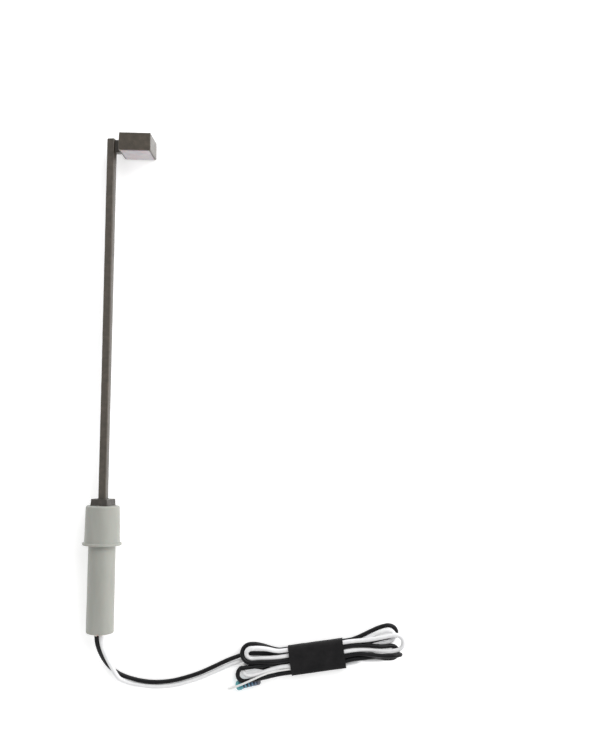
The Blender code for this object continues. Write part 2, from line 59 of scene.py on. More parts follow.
# -------- frames
MOUNT_OFFSET = 3.9  # from the flange's middle to its mount, away from the surface
flange = frame["record"]["mounts"][0]
slide = frame["joints"][0]
post_up = -Vector(flange["axis"])
post_front = Vector((0, -post_up.z, post_up.y))
flange_centre = Vector(flange["pos_m"]) - post_front * MOUNT_OFFSET * MM
tie_low, tie_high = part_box("tie_sleeve")
tie_centre = (tie_low + tie_high) / 2

TO_METRES = Matrix.Scale(MM, 4)
post_tilt = atan2(post_up.z, post_up.y)
MAST = Matrix.Translation(flange_centre) @ Matrix.Rotation(post_tilt, 4, "X") @ TO_METRES
TABLE = Matrix.Translation((flange_centre.x, flange_centre.y, 0)) @ TO_METRES
hank_turn = atan2(slide["axis"][1], slide["axis"][0])
HANK = (Matrix.Translation((tie_centre.x, tie_centre.y, 0))
        @ Matrix.Rotation(hank_turn, 4, "Z") @ TO_METRES)
TABLE_TO_HANK = HANK.inverted() @ TABLE

# -------- sizes in millimetres
POLE_WIDTH, POLE_CORNER = 1.9, 0.35
POLE_FOOT, CAP_TOP = 9.9, 97.35
POLE_ROLL = radians(-8.5)
EDGE_ROUNDING = 0.15  # of the head, the arm and the base plate

HEAD_LOW, HEAD_HIGH = (2.37, 93.72, -3.725), (10.02, 97.84, 3.725)
HEAD_DRAFT, HEAD_WALL, HEAD_ROOF = 0.1, 0.4, 0.5
LENS_PROUD, LENS_THICKNESS, LENS_GAP = 0.15, 0.5, 0.02
LENS_RIB_PITCH, LENS_RIB_HEIGHT = 0.36, 0.03

ARM_LOW, ARM_HIGH = (0.9, 93.95, -0.85), (2.45, 96.95, 0.85)

PLATE_SIDE, PLATE_TAPER = 4.35, 0.1
PLATE_BOTTOM, PLATE_TOP = 9.42, 11.0
PLATE_ROLL = radians(-15)
# The fillets of paint round the pole's and the plate's feet
FOOT_SEAM, PLATE_SEAM, SEAM_INSET, SEAM_LIFT = 0.13, 0.12, 0.02, 0.03

FLANGE_RADIUS, FLANGE_THICKNESS, FLANGE_ROUNDING = 4.625, 0.5, 0.1
COLLAR_FOOT_RADIUS, COLLAR_TOP_RADIUS, COLLAR_FACE_RADIUS = 4.175, 3.975, 3.45
COLLAR_SHOULDER, COLLAR_TOP = 8.95, 9.4
FLANGE_CHAMFER, FLANGE_ROOT = 0.06, 0.15
RELIEF_DEPTH, POLE_HOLE_RADIUS, JOINT_GAP = 0.1, 1.35, 0.02
BARREL_TOP_RADIUS, BARREL_END_RADIUS, BARREL_LENGTH, BARREL_BORE = 3.175, 3.25, 21.0, 2.35
BARREL_END_ROUNDING, BORE_CHAMFER = (0.25, 0.4), (0.12, 0.15)
MOULDING_SIDES = 128
RAGGED_LENGTH, RAGGED_DEPTH = 0.8, 0.1  # the uneven last stretch of the barrel
PARTING_LINE, PARTING_LINE_REACH = 0.03, 0.05  # its height, and half its width in radians
END_FACE = -20.9  # outer face of the filler in the barrel's end
EXITS, EXIT_FRONT = {"black": -0.8, "white": 0.3}, 0.37  # to the right and in front of the barrel's axis
GLUE_THICKNESS, GLUE_BULGE, GLUE_LUMPS = 1.2, 0.55, 0.16
GLUE_AT_LEADS, GLUE_FALL = 0.95, 0.9  # how high it creeps round a lead, and how fast that falls off

LEAD_DIAMETER, BARE_DIAMETER = 1.05, 0.5
# The rings that finish a cut end: (radius as a share of the diameter, how far on)
ROUGH_CUT = [(0.46, 0.06), (0.36, 0.11), (0.28, 0.1), (0.25, -0.1)]
CLEAN_CUT = [(0.42, 0.05), (0.2, 0.08)]

TIE_LENGTH, TIE_WALL = 13.3, 0.25
TIE_HALF_WIDTH, TIE_HEIGHT, TIE_ROUNDING = 3.6, 3.0, 1.0
TIE_TRAVEL = 1.65  # how far past either end the folded leads stay within the tie's outline
TIE_UNEVEN_ENDS, TIE_DENTS, TIE_FLARE, TIE_RIM, TIE_FLAT_FOOT = 0.16, 0.05, 0.05, 0.5, 0.3

RESISTOR_CENTRE, RESISTOR_TURN, RESISTOR_LENGTH = (35.45, -33.28), radians(15.3), 6.3
RESISTOR_END_RADIUS, RESISTOR_WAIST_RADIUS = 1.2, 1.0
CAP_ROUNDING, CAP_SQUARENESS, CAP_LENGTH, CAP_SLOPE = 0.75, 2.6, 1.15, 0.75
RIGHT_CAP_SLIMMER = 0.14
BEAD_RADIUS, BEAD_SWELL = 0.28, 0.14

# -------- routes
# The free leads, in the TABLE frame: (right, up the post, above the table)
ROUTES = {
    "black": [
        (-0.8, -21.3, 4.80), (-0.68, -23.3, 4.55), (-0.3, -25.54, 3.65), (0.35, -27.75, 2.3),
        (1.3, -29.67, 1.15), (2.6, -31.08, 0.6), (4.3, -32.08, 0.55), (6.4, -32.83, 0.55),
        (9.3, -33.48, 0.55), (12.8, -33.73, 0.55), (16.7, -33.33, 0.55), (20.1, -32.43, 0.55),
        (23.5, -31.23, 0.55), (26.7, -29.73, 0.55), (29.9, -28.13, 0.6), (33.05, -26.79, 0.75),
    ],
    "white": [
        (0.3, -21.3, 4.80), (0.48, -23.4, 4.7), (1.1, -25.87, 4.15), (1.9, -28.21, 3.2),
        (2.6, -30.05, 2.3), (3.35, -31.71, 1.7), (4.2, -32.93, 1.25), (6.3, -33.99, 0.7),
        (9.3, -34.58, 0.55), (13.0, -34.83, 0.55), (17.0, -34.43, 0.55), (20.5, -33.53, 0.55),
        (23.9, -32.33, 0.55), (27.2, -30.83, 0.55), (30.2, -29.33, 0.6), (33.15, -28.09, 0.75),
    ],
}
# In the HANK frame, (across, above the table) where each run of a lead passes the tie's left and right ends
RUNS = {
    "black": [
        ((2.0, 0.9), (1.1, 0.9)), ((3.05, 1.0), (2.95, 1.05)), ((0.15, 2.2), (1.6, 2.15)),
        ((-2.2, 0.85), (-1.0, 0.9)), ((-2.75, 1.95), (-1.6, 2.1)), ((-0.15, 1.25), (-0.55, 2.1)),
    ],
    "white": [
        ((0.95, 0.85), (0.05, 0.9)), ((2.85, 2.1), (2.1, 0.9)), ((1.15, 1.9), (2.7, 2.1)),
        ((-1.2, 0.85), (0.5, 2.1)), ((-1.15, 2.05), (-2.0, 0.9)), ((-2.7, 1.4), (-2.9, 0.9)),
    ],
}
# The fold after each run: how far along its tip is, (across, above) of the leg that it arrives by and of
# the leg that it leaves by, and how far each of the two legs bows sideways
FOLDS = {
    "black": [
        (19.9, (1.0, 0.55), (5.1, 1.5), 0, 0), (-17.9, (5.4, 1.6), (0.95, 2.3), 0.1, 0),
        (19.4, (0.6, 1.7), (-2.75, 1.6), 0, 0.1), (-19.7, (0.15, 0.9), (-3.3, 2.7), 0, 0),
        (20.1, (-2.0, 1.8), (-1.45, 5.0), 0.1, 0),
    ],
    "white": [
        (19.2, (1.0, 1.5), (4.1, 2.5), 0.2, 0), (-16.9, (4.55, 3.0), (1.55, 1.4), 0.15, -0.1),
        (21.2, (3.0, 3.0), (-0.9, 2.5), -0.2, 0.3), (-18.2, (0.7, 0.6), (-2.2, 2.2), 0, 0),
        (19.0, (-2.9, 0.6), (0.6, 0.6), 0, 0),
    ],
}
BLACK_TAIL = [(-11.5, -0.2, 1.6), (-15.0, -0.1, 1.9), (-18.9, -0.1, 2.0)]
WHITE_END = -3.0  # how far along the tie the white lead meets the solder bead
# The resistor's bare leads, in the HANK frame
BACK_ROUTE = [
    (-20.68, -4.44, 1.2), (-21.4, -4.51, 1.2), (-22.05, -4.58, 1.34), (-22.45, -4.6, 1.8),
    (-22.15, -4.52, 2.35), (-21.3, -4.3, 2.78), (-20.2, -4.03, 3.02), (-18.9, -3.68, 3.25),
    (-16.7, -3.03, 3.4), (-14.2, -2.35, 3.15), (-12.0, -1.95, 2.75), (-10.2, -1.88, 2.45),
    (-8.3, -1.88, 2.38), (-6.7, -1.93, 2.2), (-5.27, -2.1, 1.8),
]
STRAIGHT_ROUTE = [
    (-14.31, -3.77, 1.2), (-13.2, -3.69, 1.2), (-11.5, -3.53, 1.15), (-9.9, -3.2, 1.1),
    (-8.5, -3.03, 1.1), (-7.3, -3.01, 1.1), (-5.75, -3.01, 1.1),
]


# -------- camera, light and floor
CAMERA_AT = (50.76, -10.71, 211.58)  # in millimetres
CAMERA_TURN = radians(1.313)
LENS_MM, SENSOR_MM = 41.52, 36.0
LENS_SHIFT = (-0.0387, 0.0787)
ROOM_HORIZON, ROOM_ZENITH, ROOM_SIDE = 1.2, 0.35, 0.34
FLOOR_GLOW, FLOOR_HALF_SIDE, FLOOR_DROP = 0.4, 2.5, -0.00002
LIGHTS = (  # name, place and size in metres, watts
    ("key_light", (0.34, 0.38, 0.46), 0.42, 1.9),
    ("fill_light", (-0.45, 0.10, 0.60), 0.50, 0.4),
)


def make_camera():
    """Straight above, with its lens shifted, because the photo is an off-centre crop."""
    camera = bpy.data.cameras.new("camera")
    camera.sensor_width = SENSOR_MM
    camera.lens = LENS_MM
    camera.shift_x, camera.shift_y = LENS_SHIFT
    camera.clip_start = 0.01
    seen_from = bpy.data.objects.new("camera", camera)
    seen_from.location = Vector(CAMERA_AT) * MM
    seen_from.rotation_euler = (0, 0, CAMERA_TURN)
    bpy.context.scene.collection.objects.link(seen_from)
    bpy.context.scene.camera = seen_from


def make_floor():
    bm = bmesh.new()
    bmesh.ops.create_grid(bm, x_segments=1, y_segments=1, size=FLOOR_HALF_SIDE)
    mesh = bpy.data.meshes.new("floor")
    bm.to_mesh(mesh)
    bm.free()
    mesh.materials.append(floor_paint())
    floor = bpy.data.objects.new("floor", mesh)
    floor.location.z = FLOOR_DROP
    bpy.context.scene.collection.objects.link(floor)


def make_lights():
    for name, at, size, energy in LIGHTS:
        light = bpy.data.lights.new(name, "AREA")
        light.size = size
        light.energy = energy
        lamp = bpy.data.objects.new(name, light)
        lamp.location = at
        lamp.rotation_euler = (-Vector(at)).to_track_quat("-Z", "Y").to_euler()
        bpy.context.scene.collection.objects.link(lamp)


def make_room():
    """A room that grows darker from the horizon up and is brightest on the right."""
    world = bpy.data.worlds.new("room")
    world.use_nodes = True
    nodes, links = world.node_tree.nodes, world.node_tree.links
    direction = nodes.new("ShaderNodeTexCoord")
    parts = nodes.new("ShaderNodeSeparateXYZ")
    brightness = nodes.new("ShaderNodeMapRange")
    brightness.inputs["To Min"].default_value = ROOM_HORIZON
    brightness.inputs["To Max"].default_value = ROOM_ZENITH
    links.new(direction.outputs["Generated"], parts.inputs["Vector"])
    sided = nodes.new("ShaderNodeMath")
    sided.operation = "MULTIPLY_ADD"
    sided.inputs[1].default_value = ROOM_SIDE
    links.new(parts.outputs["Z"], brightness.inputs["Value"])
    links.new(parts.outputs["X"], sided.inputs[0])
    links.new(brightness.outputs["Result"], sided.inputs[2])
    links.new(sided.outputs[0], nodes["Background"].inputs["Strength"])
    nodes["Background"].inputs["Color"].default_value = (1, 1, 1, 1)
    bpy.context.scene.world = world


def make_stage():
    make_camera()
    make_floor()
    make_lights()
    make_room()
    bpy.context.scene.view_settings.view_transform = "Standard"


# -------- materials
NOISE_ROUGHNESS = 0.55  # how strong the finer detail of every noise texture is


def linear(*colour):
    """A colour given as 0 to 255 on a screen, in linear light."""
    return (*[(c / 255) ** 2.2 for c in colour], 1.0)


class Paint:
    """A Principled material whose nodes are added one by one. Textures are laid out in metres."""

    def __init__(self, name, roughness=0.5, metallic=0.0, **inputs):
        self.material = bpy.data.materials.new(name)
        self.material.use_nodes = True
        self.tree = self.material.node_tree
        self.shader = self.tree.nodes["Principled BSDF"]
        self.shader.inputs["Roughness"].default_value = roughness
        self.shader.inputs["Metallic"].default_value = metallic
        for socket, value in inputs.items():
            self.shader.inputs[socket.replace("_", " ")].default_value = value
        self.place = self.node("ShaderNodeTexCoord").outputs["Object"]

    def node(self, kind, **settings):
        made = self.tree.nodes.new(kind)
        for key, value in settings.items():
            setattr(made, key, value)
        return made

    def link(self, source, target):
        self.tree.links.new(source, target)

    def noise(self, size, detail, stretch=(1, 1, 1)):
        """Noise whose blobs are about size millimetres across."""
        mapping = self.node("ShaderNodeMapping")
        mapping.inputs["Scale"].default_value = [s / (size * MM) for s in stretch]
        self.link(self.place, mapping.inputs["Vector"])
        made = self.node("ShaderNodeTexNoise")
        made.inputs["Scale"].default_value = 1.0
        made.inputs["Detail"].default_value = detail
        made.inputs["Roughness"].default_value = NOISE_ROUGHNESS
        self.link(mapping.outputs["Vector"], made.inputs["Vector"])
        return made.outputs["Fac"]

    def ramp(self, source, stops, interpolation="LINEAR"):
        """Colours or greys along a value: stops are (position, colour or grey)."""
        made = self.node("ShaderNodeValToRGB")
        band = made.color_ramp
        band.interpolation = interpolation
        while len(band.elements) < len(stops):
            band.elements.new(0.5)
        for element, (position, colour) in zip(band.elements, stops):
            element.position = position
            element.color = colour if hasattr(colour, "__len__") else (colour, colour, colour, 1)
        self.link(source, made.inputs["Fac"])
        return made.outputs["Color"]

    def mix(self, amount, under, over):
        """Over laid on under, both colours or outputs."""
        made = self.node("ShaderNodeMix", data_type="RGBA")
        for socket, value in ((0, amount), (6, under), (7, over)):
            if isinstance(value, bpy.types.NodeSocket):
                self.link(value, made.inputs[socket])
            else:
                made.inputs[socket].default_value = value
        return made.outputs[2]

    def colour(self, source):
        self.link(source, self.shader.inputs["Base Color"])

    def roughness(self, source, low, high):
        made = self.node("ShaderNodeMapRange")
        made.inputs["To Min"].default_value = low
        made.inputs["To Max"].default_value = high
        self.link(source, made.inputs["Value"])
        self.link(made.outputs["Result"], self.shader.inputs["Roughness"])

    def bump(self, source, height, strength=1.0):
        """Relief of about height millimetres, laid over any relief given before."""
        made = self.node("ShaderNodeBump")
        made.inputs["Strength"].default_value = strength
        made.inputs["Distance"].default_value = height * MM
        self.link(source, made.inputs["Height"])
        normal = self.shader.inputs["Normal"]
        if normal.links:
            self.link(normal.links[0].from_socket, made.inputs["Normal"])
        self.link(made.outputs["Normal"], normal)


def floor_paint():
    """White card lit from below as well, as on a light table."""
    paint = Paint("floor_card", roughness=0.7, Emission_Strength=FLOOR_GLOW)
    card = paint.ramp(paint.noise(40, 2), [(0.3, linear(250, 250, 250)), (0.7, linear(253, 253, 253))])
    paint.colour(card)
    paint.link(card, paint.shader.inputs["Emission Color"])
    return paint.material


def bronze_paint(name, shade=1.0):
    """Dark bronze spray over brass: fine orange peel, small specks and a thinner coat in places."""
    paint = Paint(name, metallic=0.25, Specular_IOR_Level=0.45, Coat_Weight=0.7, Coat_Roughness=0.22)
    # A shade below 1 darkens every colour of the paint: painted shade, for parts that lie in shadow.
    thin, even, thick = [linear(r * shade, g * shade, b * shade)
                         for r, g, b in ((89, 80, 71), (79, 72, 63), (70, 64, 56))]
    blotch = paint.ramp(paint.noise(1.3, 4), [(0.32, thick), (0.55, even), (0.72, thin)])
    specks = paint.ramp(paint.noise(0.16, 2), [(0.62, 0.0), (0.75, 0.55)])
    paint.colour(paint.mix(specks, blotch, linear(110 * shade, 101 * shade, 88 * shade)))
    paint.roughness(paint.noise(0.5, 3), 0.34, 0.62)
    paint.bump(paint.noise(0.22, 3), 0.018, 0.7)
    paint.bump(paint.noise(1.6, 2), 0.03, 0.5)
    return paint.material


def grey_plastic():
    """Satin grey moulding: faint flow marks along the post and fine pitting."""
    paint = Paint("grey_plastic", Subsurface_Weight=0.08, Subsurface_Scale=0.0008)
    flow = paint.ramp(paint.noise(3.0, 4, (1, 0.25, 1)),
                      [(0.3, linear(157, 158, 151)), (0.6, linear(165, 166, 159)),
                       (0.8, linear(172, 172, 166))])
    grime = paint.ramp(paint.noise(0.3, 3), [(0.66, 0.0), (0.82, 0.35)])
    paint.colour(paint.mix(grime, flow, linear(140, 136, 126)))
    paint.roughness(paint.noise(0.9, 3), 0.36, 0.56)
    paint.bump(paint.noise(0.15, 2), 0.008, 0.6)
    paint.bump(paint.noise(2.2, 2, (1, 0.3, 1)), 0.03, 0.5)
    return paint.material


def lens_plastic():
    """Milky diffuser with a faint lavender cast, a little cloudy."""
    paint = Paint("frosted_lens", Transmission_Weight=0.06, Subsurface_Weight=0.25,
                  Subsurface_Scale=0.001)
    paint.colour(paint.ramp(paint.noise(1.8, 3),
                            [(0.3, linear(190, 185, 190)), (0.7, linear(206, 201, 203))]))
    paint.roughness(paint.noise(0.3, 2), 0.30, 0.48)
    paint.bump(paint.noise(0.12, 2), 0.006, 0.5)
    return paint.material


def board_mask():
    paint = Paint("board_mask", roughness=0.4)
    paint.colour(paint.ramp(paint.noise(0.8, 3),
                            [(0.35, linear(208, 211, 205)), (0.65, linear(222, 223, 218))]))
    paint.bump(paint.noise(0.3, 2), 0.01)
    return paint.material


def phosphor():
    paint = Paint("led_phosphor", roughness=0.3, Subsurface_Weight=0.3, Subsurface_Scale=0.0005)
    paint.colour(paint.ramp(paint.noise(0.4, 3),
                            [(0.3, linear(228, 200, 112)), (0.7, linear(240, 218, 140))]))
    paint.bump(paint.noise(0.2, 2), 0.008)
    return paint.material


def filler_glue():
    """Whitish hot glue: cloudy, soft and lumpy."""
    paint = Paint("filler_glue", Subsurface_Weight=0.4, Subsurface_Scale=0.001)
    paint.colour(paint.ramp(paint.noise(0.6, 4),
                            [(0.3, linear(168, 163, 153)), (0.7, linear(222, 218, 208))]))
    paint.roughness(paint.noise(0.5, 2), 0.25, 0.5)
    paint.bump(paint.noise(0.45, 3), 0.05)
    return paint.material


def jacket(name, low, high, roughness, dirt):
    """Soft wire insulation: slightly mottled gloss, faint rubbed marks and fine ripples."""
    paint = Paint(name, Specular_IOR_Level=0.3)
    base = paint.ramp(paint.noise(1.4, 3), [(0.3, low), (0.7, high)])
    marks = paint.ramp(paint.noise(0.35, 3), [(0.63, 0.0), (0.8, 0.4)])
    paint.colour(paint.mix(marks, base, dirt))
    paint.roughness(paint.noise(0.7, 3), *roughness)
    paint.bump(paint.noise(0.9, 3), 0.04, 0.6)
    paint.bump(paint.noise(0.18, 2), 0.008, 0.5)
    return paint.material


def shrink_tube():
    """Matte charcoal shrink tube with a dry, faintly scuffed skin."""
    paint = Paint("shrink_tube", Specular_IOR_Level=0.15)
    base = paint.ramp(paint.noise(2.0, 4), [(0.3, linear(30, 30, 31)), (0.7, linear(40, 39, 40))])
    scuffs = paint.ramp(paint.noise(0.28, 3), [(0.6, 0.0), (0.8, 0.35)])
    paint.colour(paint.mix(scuffs, base, linear(62, 61, 62)))
    paint.roughness(paint.noise(0.6, 3), 0.55, 0.78)
    paint.bump(paint.noise(0.2, 3), 0.015, 0.7)
    paint.bump(paint.noise(1.8, 2), 0.05, 0.5)
    return paint.material


def bare_metal(name, metallic, low, high, roughness):
    """Drawn or soldered metal, dulled in patches."""
    paint = Paint(name, metallic=metallic)
    paint.colour(paint.ramp(paint.noise(0.5, 4), [(0.3, low), (0.7, high)]))
    paint.roughness(paint.noise(0.3, 3), *roughness)
    paint.bump(paint.noise(0.15, 3), 0.012, 0.6)
    return paint.material


def enamel(name, low, high):
    paint = Paint(name, metallic=0.6, Coat_Weight=0.6)
    paint.colour(paint.ramp(paint.noise(0.6, 3), [(0.3, low), (0.7, high)]))
    paint.roughness(paint.noise(0.2, 2), 0.2, 0.4)
    return paint.material


# Colours along the resistor, from its left end: (where each starts, screen colour)
RESISTOR_BANDS = [
    (0.00, (84, 160, 166)), (0.16, (56, 132, 144)), (0.30, (24, 44, 74)), (0.37, (86, 150, 168)),
    (0.425, (16, 30, 58)), (0.51, (80, 136, 162)), (0.56, (20, 34, 66)), (0.64, (90, 126, 156)),
    (0.69, (22, 32, 62)), (0.77, (96, 110, 134)), (0.82, (50, 50, 70)), (0.89, (82, 74, 88)),
    (0.94, (40, 34, 44)),
]


def resistor_lacquer():
    """Glossy turquoise lacquer with dark rings brushed round it, their edges a little uneven."""
    paint = Paint("resistor_lacquer", Coat_Weight=0.5, Coat_Roughness=0.12)
    along = paint.node("ShaderNodeUVMap", uv_map="along")
    parts = paint.node("ShaderNodeSeparateXYZ")
    paint.link(along.outputs["UV"], parts.inputs["Vector"])
    shift = paint.node("ShaderNodeMapRange")
    shift.inputs["To Min"].default_value = -0.012
    shift.inputs["To Max"].default_value = 0.012
    paint.link(paint.noise(0.35, 3), shift.inputs["Value"])
    added = paint.node("ShaderNodeMath", operation="ADD")
    paint.link(parts.outputs["X"], added.inputs[0])
    paint.link(shift.outputs["Result"], added.inputs[1])
    rings = paint.ramp(added.outputs[0], [(at, linear(*c)) for at, c in RESISTOR_BANDS], "CONSTANT")
    cloud = paint.ramp(paint.noise(0.5, 3), [(0.4, 0.0), (0.8, 0.2)])
    paint.colour(paint.mix(cloud, rings, linear(120, 176, 188)))
    paint.roughness(paint.noise(0.4, 3), 0.15, 0.38)
    paint.bump(paint.noise(0.5, 3), 0.04, 0.6)
    return paint.material


# -------- shapes
def as_piece(name, bm, to_world, material, body="post", replaces=(), sharp=40):
    """The bmesh, drawn in millimetres, as a piece of the object that rides on a body."""
    bmesh.ops.recalc_face_normals(bm, faces=bm.faces)
    bm.transform(to_world)
    mesh = bpy.data.meshes.new(name)
    bm.to_mesh(mesh)
    bm.free()
    mesh.shade_smooth()
    mesh.set_sharp_from_angle(angle=radians(sharp))
    mesh.materials.append(material)
    piece = bpy.data.objects.new(name, mesh)
    bpy.context.scene.collection.objects.link(piece)
    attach(piece, body)
    if replaces:
        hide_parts(*replaces)
    return piece


def carve(piece, bm, to_world):
    """Takes the bmesh's shape out of the piece."""
    bmesh.ops.recalc_face_normals(bm, faces=bm.faces)
    bm.transform(to_world)
    mesh = bpy.data.meshes.new("cutter")
    bm.to_mesh(mesh)
    bm.free()
    cutter = bpy.data.objects.new("cutter", mesh)
    bpy.context.scene.collection.objects.link(cutter)
    modifier = piece.modifiers.new("carve", "BOOLEAN")
    modifier.operation = "DIFFERENCE"
    modifier.object = cutter
    modifier.solver = "EXACT"
    graph = bpy.context.evaluated_depsgraph_get()
    carved = bpy.data.meshes.new_from_object(piece.evaluated_get(graph))
    piece.modifiers.remove(modifier)
    piece.data = carved
    bpy.data.objects.remove(cutter)


def ticks(low, high, radius, step):
    """Places along one side of a soft box, closer together in its rounded ends."""
    corner = [radius * (1 - tan(pi / 4 * (1 - i / 4))) for i in range(5)]
    count = max(1, ceil((high - low - 2 * radius) / step))
    middle = [low + radius + (high - low - 2 * radius) * i / count for i in range(1, count)]
    return [low + c for c in corner] + middle + [high - c for c in reversed(corner)]


def soft_box(low, high, radius, step, top_inset=0.0, wobble=0.0, wobble_size=1.0):
    """A closed box with rounded edges and a fine grid on its faces, so that it can be uneven."""
    bm = bmesh.new()
    made = {}
    grid = [ticks(a, b, radius, s) for a, b, s in zip(low, high, step)]
    last = [len(g) - 1 for g in grid]
    inner = [(a + radius, b - radius) for a, b in zip(low, high)]

    def vert(index):
        if index not in made:
            at = Vector(g[i] for g, i in zip(grid, index))
            core = Vector(min(max(c, a), b) for c, (a, b) in zip(at, inner))
            made[index] = bm.verts.new(core + (at - core).normalized() * radius)
        return made[index]

    for axis in range(3):
        one, two = (axis + 1) % 3, (axis + 2) % 3
        for end in (0, last[axis]):
            for i in range(last[one]):
                for j in range(last[two]):
                    corners = []
                    for di, dj in ((0, 0), (1, 0), (1, 1), (0, 1)):
                        index = [0, 0, 0]
                        index[axis], index[one], index[two] = end, i + di, j + dj
                        corners.append(vert(tuple(index)))
                    bm.faces.new(corners)
    if top_inset:
        middle = [(a + b) / 2 for a, b in zip(low, high)]
        for v in bm.verts:
            share = (v.co.y - low[1]) / (high[1] - low[1])
            for axis in (0, 2):
                half = (high[axis] - low[axis]) / 2
                v.co[axis] = middle[axis] + (v.co[axis] - middle[axis]) * (1 - top_inset * share / half)
    roughen(bm, wobble, wobble_size)
    return bm


def roughen(bm, amount, size):
    """Moves the surface in and out by up to about the amount, in blobs of about the size."""
    if not amount:
        return
    bmesh.ops.recalc_face_normals(bm, faces=bm.faces)
    bm.normal_update()
    moves = [(v, v.normal * amount * noise.noise(v.co / size)) for v in bm.verts]
    for v, move in moves:
        v.co += move


def arc(centre, radii, start, end, count):
    """Points along an ellipse's arc, angles in degrees."""
    angles = [radians(start + (end - start) * i / count) for i in range(count + 1)]
    return [(centre[0] + radii[0] * cos(a), centre[1] + radii[1] * sin(a)) for a in angles]


def fine(profile, step):
    """The closed outline with points added so that none are further apart than the step."""
    found = []
    for (r0, h0), (r1, h1) in zip(profile, profile[1:] + profile[:1]):
        count = max(1, ceil(hypot(r1 - r0, h1 - h0) / step))
        found += [(r0 + (r1 - r0) * i / count, h0 + (h1 - h0) * i / count) for i in range(count)]
    return found


def turned(profile, sides, lift=None):
    """An outline of (radius, height) turned about Y. lift(radius, height, angle) adds to the radius."""
    bm = bmesh.new()
    rings = []
    for k in range(sides):
        angle = tau * k / sides
        ring = []
        for radius, height in profile:
            r = radius + (lift(radius, height, angle) if lift and radius > 0 else 0)
            ring.append(bm.verts.new((r * cos(angle), height, r * sin(angle))))
        rings.append(ring)
    for a, b in zip(rings, rings[1:] + rings[:1]):
        for i in range(len(profile)):
            j = (i + 1) % len(profile)
            if profile[i][0] > 0 or profile[j][0] > 0:
                bm.faces.new((a[i], a[j], b[j], b[i]))
    bmesh.ops.remove_doubles(bm, verts=bm.verts, dist=1e-5)
    return bm


def sweep(centres, radius, sides, loop=False, lift=None, end_rings=()):
    """A closed round tube through the centres. lift(distance, angle) adds to the radius, and end_rings
    are further (radius, distance on) rings that finish its far end."""
    centres = [Vector(c) for c in centres]
    count = len(centres)
    ends = [centres[-1], *centres, centres[0]] if loop else [centres[0], *centres, centres[-1]]
    around = [(after - before).normalized() for before, after in zip(ends, ends[2:])]
    side = around[0].orthogonal().normalized()
    bm = bmesh.new()
    rings, travelled = [], 0.0

    def ring(middle, ahead, across, r, at):
        up = ahead.cross(across)
        found = []
        for k in range(sides):
            angle = tau * k / sides
            size = r + (lift(at, angle) if lift else 0)
            found.append(bm.verts.new(middle + (across * cos(angle) + up * sin(angle)) * size))
        return found

    for i, (middle, ahead) in enumerate(zip(centres, around)):
        side = (side - ahead * side.dot(ahead)).normalized()
        rings.append(ring(middle, ahead, side, radius, travelled))
        if i + 1 < count:
            travelled += (centres[i + 1] - middle).length
    for r, on in end_rings:
        rings.append(ring(centres[-1] + around[-1] * on, around[-1], side, r, travelled))
    pairs = list(zip(rings, rings[1:])) + ([(rings[-1], rings[0])] if loop else [])
    for a, b in pairs:
        turn = 0
        if loop and a is rings[-1]:
            gaps = [(a[0].co - v.co).length for v in b]
            turn = gaps.index(min(gaps))
        for k in range(sides):
            m = (k + 1) % sides
            bm.faces.new((a[k], a[m], b[(m + turn) % sides], b[(k + turn) % sides]))
    if not loop:
        bm.faces.new(reversed(rings[0]))
        bm.faces.new(rings[-1])
    return bm


def smooth_points(points, spacing):
    """Points about one spacing apart along a Catmull-Rom curve through the given points."""
    points = [Vector(p) for p in points]
    ends = [2 * points[0] - points[1], *points, 2 * points[-1] - points[-2]]
    found = []
    for p0, p1, p2, p3 in zip(ends, ends[1:], ends[2:], ends[3:]):
        count = max(1, round((p2 - p1).length / spacing))
        for i in range(count):
            t = i / count
            found.append(0.5 * (2 * p1 + (p2 - p0) * t + (2 * p0 - 5 * p1 + 4 * p2 - p3) * t * t
                                + (3 * p1 - p0 - 3 * p2 + p3) * t ** 3))
    return [*found, points[-1]]


def rounded_square(half, radius):
    """The outline of a rounded square, anticlockwise."""
    found, per_corner, per_side = [], 8, 10
    for corner in range(4):
        turn = Matrix.Rotation(corner * pi / 2, 2)
        rounded = arc((half - radius, half - radius), (radius, radius), 0, 90, per_corner)
        start, end = Vector((half - radius, half)), Vector((-half + radius, half))
        found += [turn @ Vector(p) for p in rounded]
        found += [turn @ start.lerp(end, i / per_side) for i in range(1, per_side)]
    return found


def seam(name, half, radius, height, thickness, roll, material):
    """A thin, uneven fillet of paint or glue round a square upright piece, in the MAST frame."""
    turn = Matrix.Rotation(roll, 3, "Y")
    centres = [turn @ Vector((x, height + 0.02 * noise.noise(Vector((x, y, 3))), y))
               for x, y in rounded_square(half, radius)]
    bm = sweep(centres, thickness, 10, loop=True,
               lift=lambda at, angle: 0.35 * thickness * noise.noise(Vector((at / 0.6, cos(angle), half))))
    as_piece(name, bm, MAST, material, sharp=80)


# -------- the folded leads
STEP = 0.5  # between the points of a lead
RUN_POINTS, LEG_POINTS = 20, 24  # of a run through the tie and of a fold's leg, before they are evened out
MOUTH = TIE_LENGTH / 2 + TIE_TRAVEL  # how far from the tie's middle the folds begin
CLEARANCE, ABOVE_TABLE = 0.03, 0.01  # kept between the leads and below them
SETTLE_ROUNDS, SEARCH_EVERY = 150, 4  # near pairs are looked up again every few rounds
FIRST_SHARE, FULL_AFTER = 0.45, 0.6  # the leads' first thickness, and the share of rounds it grows over
OWN_REACH = 3.2  # nearer than this along itself, a lead doesn't push itself away
LOOSEN_OVER = 4  # points over which a lead that is held by its route becomes free
NEARBY, PUSH = 0.6, 0.3  # the gap up to which a pair counts as near, and the share of an overlap undone
SMOOTHING = 0.5  # how much of a move is evened out along the lead


def ease(t):
    return t * t * (3 - 2 * t)


